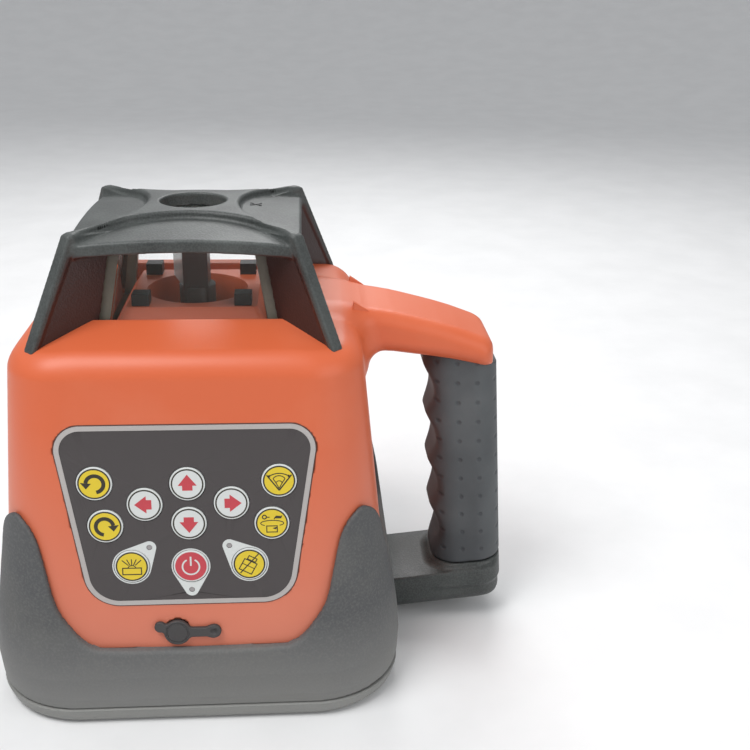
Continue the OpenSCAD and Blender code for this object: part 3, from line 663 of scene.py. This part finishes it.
def handle_grip(x, y, z):
    """Leaning grip with four finger hollows, ending under the orange arm."""
    g, s = tilted(x, z, GRIP_FOOT, GRIP_LEAN)
    d = box2(g - GRIP_MIDDLE, y, GRIP_HALF_U, GRIP_HALF_V, GRIP_CORNER)
    nearest = np.clip(np.round((s - 38) / FINGER_PITCH), -1, 2)
    finger = np.hypot(g + 24.4, s - 38 - FINGER_PITCH * nearest) - 13
    d = cut(d, -finger, 2.6)
    d = cut(d, 1 - s, 1.0)
    ceiling = z - np.interp(x, [80, 97, 117, 121.5, 130], [130, 127.3, 123, 121, 120.6])
    return np.maximum(d, ceiling * 0.96)


def cap_plug(x, y, z):
    """Rubber plug, its pull tab, strap and anchor, in the keypad face's axes."""
    up, out = face_axes(y, z)
    v = up + (PANEL_Z - PLUG_Z) / math.cos(TAPER)
    head = np.hypot(x - PLUG_X, v)
    tab = np.hypot(x - TAB_X, v - 2.4) - 2.1
    anchor = np.hypot(x - ANCHOR_X, v - 0.2) - 2.7
    strap = box2(x - 1, v, 6.6, 1.9, 0.5)
    flat = join(join(join(head - 5, tab, 1.5), strap, 1.0), anchor, 1.0)
    d = cut(cut(flat, out - 1.75, 0.5), 0.15 - out, 0.2)
    stub = np.maximum(head - 2.4, np.maximum(out - 1, -2.2 - out))
    dent = np.sqrt((x - ANCHOR_X) ** 2 + (v - 0.2) ** 2 + (out - 2.4) ** 2) - 1.5
    lip = np.maximum(np.abs(head - 4.0) - 0.3, 1.5 - out)
    return np.maximum(cut(np.minimum(d, stub), -dent, 0.3), -lip)


# name, field, lowest and highest corner of the grid, its step, share of faces kept, material, body and
# the CAD node that the piece replaces
moulded("housing_shell", housing, (-82, -82, 5), (126, 82, 153), 1.05, 0.42, ORANGE, "body", "main_housing")
moulded("rubber_boot", skirt, (-83, -83, 5), (83, 83, 90), 1.0, 0.6, SKIRT, "body", "rubber_skirt")
moulded("base_moulding", base, (-83, -83, -3), (83, 83, 37), 1.0, 0.5, BASE, "body", "base_plate")
moulded("roof_moulding", roof, (-61, -61, 136), (61, 61, 190), 0.7, 0.6, ROOF, "body", "roof_cage")
moulded("foot_arm", foot_arm, (64, -23, 0), (134, 23, 34), 0.8, 0.8, SPARK, "body", "lower_arm")
moulded("handle_grip", handle_grip, (86, -20, 24), (134, 20, 134), 0.8, 0.8, GRIP, "body", "rubber_grip")

# ------------------------------------------------------------------ keypad face


def face_matrix(x, z):
    """Place on the keypad face: X to the right, Y up along the face, Z out of it."""
    right, up = Vector((1, 0, 0)), Vector((0, math.sin(TAPER), math.cos(TAPER)))
    out = Vector((0, -math.cos(TAPER), math.sin(TAPER)))
    matrix = Matrix((right, up, out)).transposed().to_4x4()
    matrix.translation = Vector((x, -half_at(z), z)) * MM
    return matrix


def arc(u, v, r, start, end, count=32, squash=1.0):
    """Points along an arc; start and end are in degrees."""
    turns = np.radians(np.linspace(start, end, count))
    return [(u + r * math.cos(t), v + squash * r * math.sin(t)) for t in turns]


def disc(u, v, r):
    return arc(u, v, r, 0, 360, 65)[:-1]


def band(points, width):
    """Outline of a line of this width that follows the points."""
    p = np.array(points, float)
    way = np.gradient(p, axis=0)
    way /= np.linalg.norm(way, axis=1)[:, None]
    side = np.stack([-way[:, 1], way[:, 0]], 1) * width / 2
    return list(p + side) + list((p - side)[::-1])


def turned(points, angle):
    c, s = math.cos(math.radians(angle)), math.sin(math.radians(angle))
    return [(c * u - s * v, s * u + c * v) for u, v in points]


def flat_print_or_shadow(name, groups, place, low, high, material, body):
    """Thin raised print, also used for a painted shadow band. Each group is an outline followed by the
    outlines of its holes.
    """
    vertices, faces = [], []
    for group in groups:
        curve = bpy.data.curves.new(name, "CURVE")
        curve.dimensions = "2D"
        curve.fill_mode = "BOTH"
        curve.extrude = (high - low) / 2 * MM
        for loop in group:
            spline = curve.splines.new("POLY")
            spline.points.add(len(loop) - 1)
            for point, (u, v) in zip(spline.points, loop):
                point.co = (u * MM, v * MM, 0, 1)
            spline.use_cyclic_u = True
        holder = bpy.data.objects.new(name, curve)
        bpy.context.scene.collection.objects.link(holder)
        graph = bpy.context.evaluated_depsgraph_get()
        mesh = bpy.data.meshes.new_from_object(holder.evaluated_get(graph))
        bpy.data.objects.remove(holder)
        faces += [[len(vertices) + i for i in f.vertices] for f in mesh.polygons]
        vertices += [tuple(v.co / MM) for v in mesh.vertices]
    obj = new_object(name, vertices, faces)
    obj.matrix_world = place @ Matrix.Translation((0, 0, (high + low) / 2 * MM))
    obj.data.materials.append(material)
    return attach(obj, body)


def spun(profile, steps):
    """Points and side faces of a surface turned from (radius, height) points."""
    turns = np.linspace(0, 2 * math.pi, steps, endpoint=False)
    points = [(r * math.cos(t), r * math.sin(t), h) for r, h in profile for t in turns]
    faces = []
    for low in range(0, (len(profile) - 1) * steps, steps):
        high = low + steps
        for j, k in zip(range(steps), [*range(1, steps), 0]):
            faces.append([low + j, low + k, high + k, high + j])
    return points, faces


def lathe(name, profile, place, material, body, steps=64):
    """Round piece from a profile of (radius, height) points."""
    points, faces = spun(profile, steps)
    faces += [list(range(steps))[::-1], [(len(profile) - 1) * steps + j for j in range(steps)]]
    obj = new_object(name, points, faces)
    obj.data.shade_smooth()
    obj.data.set_sharp_from_angle(angle=math.radians(50))
    obj.matrix_world = place
    obj.data.materials.append(material)
    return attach(obj, body)


def block_arrow(angle):
    tip, barb, neck, tail = (0, 3.7), 3.4, 1.85, -2.5
    left = [tip, (-barb, -0.6), (-neck, -0.6), (-neck, tail)]
    return turned(left + [(neck, tail), (neck, -0.6), (barb, -0.6)], angle)


def turn_icon(mirror):
    """Thick arc with an arrow head, turning one way or the other."""
    sweep = band(arc(0.2, -0.1, 3.15, -82, 172), 1.4)
    head = [(-4.9, 0.5), (-2.95, -2.0), (-1.0, 0.1)]
    return [[[(mirror * u, v) for u, v in shape]] for shape in (sweep, head)]


def power_icon():
    return [[band(arc(0, -0.2, 3.1, 118, 422, 48), 0.6)], [band([(0, 0.2), (0, 3.9)], 0.65)]]


def box_line(half_u, low, high, width, angle=0.0):
    """Outline of a box and of the hole in it, both turned by angle."""
    inner = half_u - width
    outer = [(-half_u, low), (half_u, low), (half_u, high), (-half_u, high)]
    hole = [(-inner, low + width), (inner, low + width), (inner, high - width), (-inner, high - width)]
    return [turned(outer, angle), turned(hole, angle)]


def alarm_icon():
    """Box with a small bubble on top and five rays above it."""
    rays = [[band([(0.6 * k, 0.5), (1.75 * k, 3.0 - 0.1 * k * k)], 0.36)] for k in (-2, -1, 0, 1, 2)]
    return [box_line(3.6, -3.4, -0.4, 0.4), [band(arc(0, -1.3, 1.7, 30, 150, 12), 0.3)]] + rays


def scan_icon():
    """Fan between two lines, with a double arrow across it and a smaller fan inside."""
    sides = [[band([(s * 4.5, 2.3), (0, -3.7)], 0.5)] for s in (-1, 1)]
    sweep = [[band(arc(0, -3.4, 6.3, 53, 127, 20), 0.38)]]
    heads = [[[(s * 4.2, 1.6), (s * 3.1, 1.35), (s * 3.5, 2.5)]] for s in (-1, 1)]
    inner = [[band([(s * 2.2, 0.9), (s * 1.2, -0.6), (0, -3.0)], 0.34)] for s in (-1, 1)]
    inner += [[band(arc(0, -0.6, 2.6, 35, 145, 16), 0.34)], [band(arc(0, -1.2, 1.2, 10, 170, 12), 0.32)]]
    return sides + sweep + heads + inner


def speed_icon():
    """Slow and fast marks above a drum with an orbit round it."""
    slow = [[disc(-2.7, 2.5, 0.95), disc(-2.7, 2.5, 0.5)], [band([(-1.7, 2.4), (-0.8, 2.4)], 0.4)]]
    fast = [[[(0.8, 1.9), (3.4, 1.9), (3.9, 3.2), (3.2, 2.8), (1.5, 3.0)]]]
    fast += [[band([(0.8, 1.6), (1.3, 2.5)], 0.35)]]
    orbit = [[band(arc(0.1, 0.0, 4.2, -50, 230, 40, 0.27), 0.32)]]
    drum = [box_line(2.1, -3.7, -0.9, 0.36), [[(0.2, -2.0), (1.9, -1.4), (1.5, -2.5)]]]
    return slow + fast + orbit + drum


def manual_icon():
    """Tilted instrument with a line struck through it."""
    waist = [band(turned([(-2.5, -0.9), (2.5, -0.9)], -28), 0.3)]
    return [box_line(2.7, -3.6, 1.4, 0.38, -28), box_line(1.8, 1.4, 3.2, 0.36, -28),
            [band([(-3.4, -3.6), (3.4, 4.0)], 0.42)], waist]


KEYS = {
    "key_ccw": (-33, 99.5, YELLOW, turn_icon(1), INK),
    "key_cw": (-30.1, 82.9, YELLOW, turn_icon(-1), INK),
    "key_scan": (33, 99.5, YELLOW, scan_icon(), INK),
    "key_speed": (30.1, 82.9, YELLOW, speed_icon(), INK),
    "key_left": (-15.6, 91.1, WHITE, [[block_arrow(90)]], RED),
    "key_right": (15.6, 91.1, WHITE, [[block_arrow(-90)]], RED),
    "key_up": (0, 98.8, WHITE, [[block_arrow(0)]], RED),
    "key_down": (0, 83.4, WHITE, [[block_arrow(180)]], RED),
    "key_power": (0, 66.3, RED, power_icon(), WHITE),
    "key_tilt_alarm": (-21.5, 66.7, YELLOW, alarm_icon(), INK),
    "key_manual": (21.5, 66.7, YELLOW, manual_icon(), INK),
}
LEDS = {"key_power": (0, 56.7), "key_tilt_alarm": (-14.8, 74.1), "key_manual": (14.3, 74.2)}
CAP = [(KEY_R - 1, KEY_FOOT), (KEY_R + 0.6, KEY_FOOT), (KEY_R + 0.6, -1.8), (KEY_R, -1.8),
       (KEY_R, KEY_TOP - 0.25), (KEY_R - 0.08, KEY_TOP - 0.07), (KEY_R - 0.25, KEY_TOP),
       (KEY_R - 0.6, KEY_TOP)]


def key(name, x, z, face, icon, ink):
    """Push key: white cap, dark ring (not on the red one), coloured face and its printed sign."""
    place = face_matrix(x, z)
    low, high = KEY_TOP - PRINT_SUNK, KEY_TOP + PRINT_RAISED
    cap = lathe(name + "_cap", CAP, place, WHITE, name)
    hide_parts(name)
    reach = RED_FACE_R
    if face != RED:
        reach = FACE_R
        ring = [[disc(0, 0, RING_R), disc(0, 0, reach)]]
        rim = flat_print_or_shadow(name + "_ring", ring, place, low, high, INK, name)
    pad = flat_print_or_shadow(name + "_face", [[disc(0, 0, reach)]], place, low, high, face, name)
    sign = flat_print_or_shadow(name + "_sign", icon, place, low, KEY_TOP + SIGN_RAISED, ink, name)


def teardrop(name, x, z, led):
    """Pale print round a lower key, drawn out to its lamp."""
    du, dv = led[0] - x, (led[1] - z) / math.cos(TAPER)
    shape = hull_outline([(0, 0, 7.1), (du, dv, 2.5)])
    drop = flat_print_or_shadow(name + "_surround", [[shape, disc(0, 0, KEY_R + 0.25), disc(du, dv, 1.05)]],
                      face_matrix(x, z), 0.12, 0.27, WHITE, "body")


def panel_ring(name, grow, shrink, low, high, material):
    """Flat band that follows the panel's edge, from grow outside it to shrink inside it; it makes the
    printed border and the painted shadow in the gap round the panel.
    """
    loops = [hull_outline([(u, v, r + d) for u, v, r in PANEL_CIRCLES]) for d in (grow, -shrink)]
    ring = flat_print_or_shadow(name, [loops], face_matrix(0, PANEL_Z), low, high, material, "body")


for name, (x, z, face, icon, ink) in KEYS.items():
    key(name, x, z, face, icon, ink)
for name, led in LEDS.items():
    teardrop(name, KEYS[name][0], KEYS[name][1], led)
panel_ring("panel_border", -0.1, 1.9, 0.05, 0.33, BORDER)
# Dark band round the panel's edge: a painted shadow in the gap.
panel_ring("panel_gap_shadow", 0.35, 0.05, -0.3, 0.05, PAINTED_GAP_SHADOW)

plug = moulded("plug_and_strap", cap_plug, (-17, -79, 31), (13, -70, 48), 0.35, 0.8, PLUG, None,
               "charge_plug", "plug_anchor")
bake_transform(plug)

# ------------------------------------------------------------------ small marks on the mouldings


def top_of(field, x, y):
    """Height of the uppermost surface at a place."""
    z = np.arange(195.0, 130.0, -0.05)
    return z[np.argmax(field(np.full(z.shape, x), np.full(z.shape, y), z) < 0)]


def sight_rib(name, y):
    """Low wedge on the housing that points along the handle."""
    blunt, sharp = 61.6, 68.4
    start, end = top_of(housing, blunt, y), top_of(housing, sharp, y)
    foot, crest = start - 1, start + 2.3
    points = [(blunt, y - 1.7, foot), (blunt, y + 1.7, foot), (blunt + 0.5, y + 1.1, crest),
              (blunt + 0.5, y - 1.1, crest), (sharp, y, end - 1), (sharp, y, end + 0.4)]
    obj = new_object(name, points, [(3, 2, 1, 0), (0, 1, 4), (1, 2, 5, 4), (2, 3, 5), (3, 0, 4, 5)])
    edge = obj.modifiers.new("edge", "BEVEL")
    edge.width, edge.segments = 0.3 * MM, 3
    applied(obj)
    obj.data.materials.append(ORANGE)
    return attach(obj, "body")


def cross_mark(x, y):
    """Small plain cross on the roof, on the side of the first tilt axis."""
    groups = [[band([(-2.1, s * -2.1), (2.1, s * 2.1)], 0.6)] for s in (-1, 1)]
    right = Vector((4, 0, top_of(roof, x + 2, y) - top_of(roof, x - 2, y))).normalized()
    up = Vector((0, 4, top_of(roof, x, y + 2) - top_of(roof, x, y - 2))).normalized()
    place = Matrix((right, up, right.cross(up))).transposed().to_4x4()
    place.translation = Vector((x, y, top_of(roof, x, y))) * MM
    mark = flat_print_or_shadow("roof_cross", groups, place, -0.3, 0.3, BLACK, "body")
    return mark


sight_rib("sight_rib_front", -17.0)
sight_rib("sight_rib_back", 17.0)
cross_mark(24, 7)

# ------------------------------------------------------------------ finishes of the CAD pieces

FINISHES = {
    ORANGE: ("inner_platform",),
    PANEL: ("keypad_panel",),
    LED: ("status_leds",),
    BASE: ("battery_door",),
    BLACK: ("remote_receivers", "charge_socket", "battery_tray", "door_latch", "alarm_buzzer",
            "laser_module", "head_pulley"),
    SKIRT: ("base_seal",),
    HEAD: ("rotor_head",),
    PRISM: ("pentaprism",),
    GLASS: ("plumb_window", "collimator_lens"),
    STEEL: ("housing_screws", "grip_core", "battery_contacts", "head_bearings", "spin_motor",
            "motor_pulley", "levelling_motors", "lead_screw_ring", "lead_screw_carrier"),
    ALUMINIUM: ("gimbal_frame", "gimbal_ring", "laser_carrier"),
    BRASS: ("tripod_insert", "side_tripod_insert", "level_sensors", "levelling_nut_ring",
            "levelling_nut_carrier"),
    BOARD: ("keypad_board", "main_board"),
    SLEEVE: ("battery_cells",),
    BELT: ("drive_belt",),
}


def dress(name, materials, width=0.2):
    """Gives a CAD piece its finish and breaks its edges slightly."""
    obj = nodes[name]
    obj.data.materials.clear()
    for material in materials:
        obj.data.materials.append(material)
    weld = obj.modifiers.new("weld", "WELD")
    weld.merge_threshold = 0.002 * MM
    edges = obj.modifiers.new("edges", "BEVEL")
    edges.width, edges.segments = width * MM, 2
    edges.limit_method, edges.angle_limit = "ANGLE", math.radians(40)
    edges.use_clamp_overlap = True
    return obj


def dress_pane(name, axis):
    """Clear faces and ground edges."""
    obj = dress(name, [GLASS, GROUND], 0.3)
    for face in obj.data.polygons:
        face.material_index = 0 if abs(face.normal[axis]) > 0.9 else 1


for material, names in FINISHES.items():
    for name in names:
        dress(name, [material])
for name, axis in (("window_left", 0), ("window_right", 0), ("window_front", 1), ("window_back", 1)):
    dress_pane(name, axis)

# ------------------------------------------------------------------ stage, light and camera


def floor():
    """Round floor that sweeps up into a backdrop on every side."""
    flat, sweep, steps = 1500, 2500, 96
    rise = np.radians(np.linspace(0, 80, 24))
    profile = [(flat + sweep * math.sin(a), sweep * (1 - math.cos(a))) for a in rise]
    points, faces = spun(profile, steps)
    obj = new_object("studio_floor", points, [face[::-1] for face in faces] + [list(range(steps))])
    obj.data.shade_smooth()
    paper = finish_of("floor_paper", (0.8, 0.8, 0.8), 0.7, grain=120.0, fleck=0.01, bump=0.02)
    obj.data.materials.append(paper)


def lamp(name, place, target, size, power):
    light = bpy.data.lights.new(name, "AREA")
    light.shape, light.size, light.energy = "DISK", size, power
    obj = bpy.data.objects.new(name, light)
    bpy.context.scene.collection.objects.link(obj)
    obj.location = place
    obj.rotation_euler = (Vector(target) - Vector(place)).to_track_quat("-Z", "Y").to_euler()


def camera():
    """Standing a little above the instrument and almost square to its keypad."""
    pitch, yaw, roll = math.radians(22.58), math.radians(4.28), math.radians(1.04)
    ahead = Vector((math.sin(yaw) * math.cos(pitch), math.cos(yaw) * math.cos(pitch), -math.sin(pitch)))
    right = Vector((math.cos(yaw), -math.sin(yaw), 0))
    up = right.cross(ahead)
    right, up = (right * math.cos(roll) + up * math.sin(roll), up * math.cos(roll) - right * math.sin(roll))
    data = bpy.data.cameras.new("camera")
    data.sensor_width, data.lens = 36, 48.66
    obj = bpy.data.objects.new("camera", data)
    bpy.context.scene.collection.objects.link(obj)
    matrix = Matrix((right, up, -ahead)).transposed().to_4x4()
    matrix.translation = (0.04276, -0.39488, 0.2765)
    obj.matrix_world = matrix
    bpy.context.scene.camera = obj


def sky():
    world = bpy.data.worlds.new("sky")
    world.use_nodes = True
    background = world.node_tree.nodes["Background"]
    background.inputs["Color"].default_value = (0.95, 0.97, 1, 1)
    background.inputs["Strength"].default_value = 0.5
    bpy.context.scene.world = world


floor()
sky()
lamp("lamp_key", (-0.35, -0.35, 0.95), (0, 0, 0.1), 0.55, 7.2)
lamp("lamp_fill", (0.8, -0.7, 0.5), (0, 0, 0.1), 0.9, 3.2)
lamp("lamp_back", (0.1, 0.7, 0.8), (0, 0, 0.15), 0.6, 4.8)
camera()
bpy.context.scene.view_settings.view_transform = "Standard"
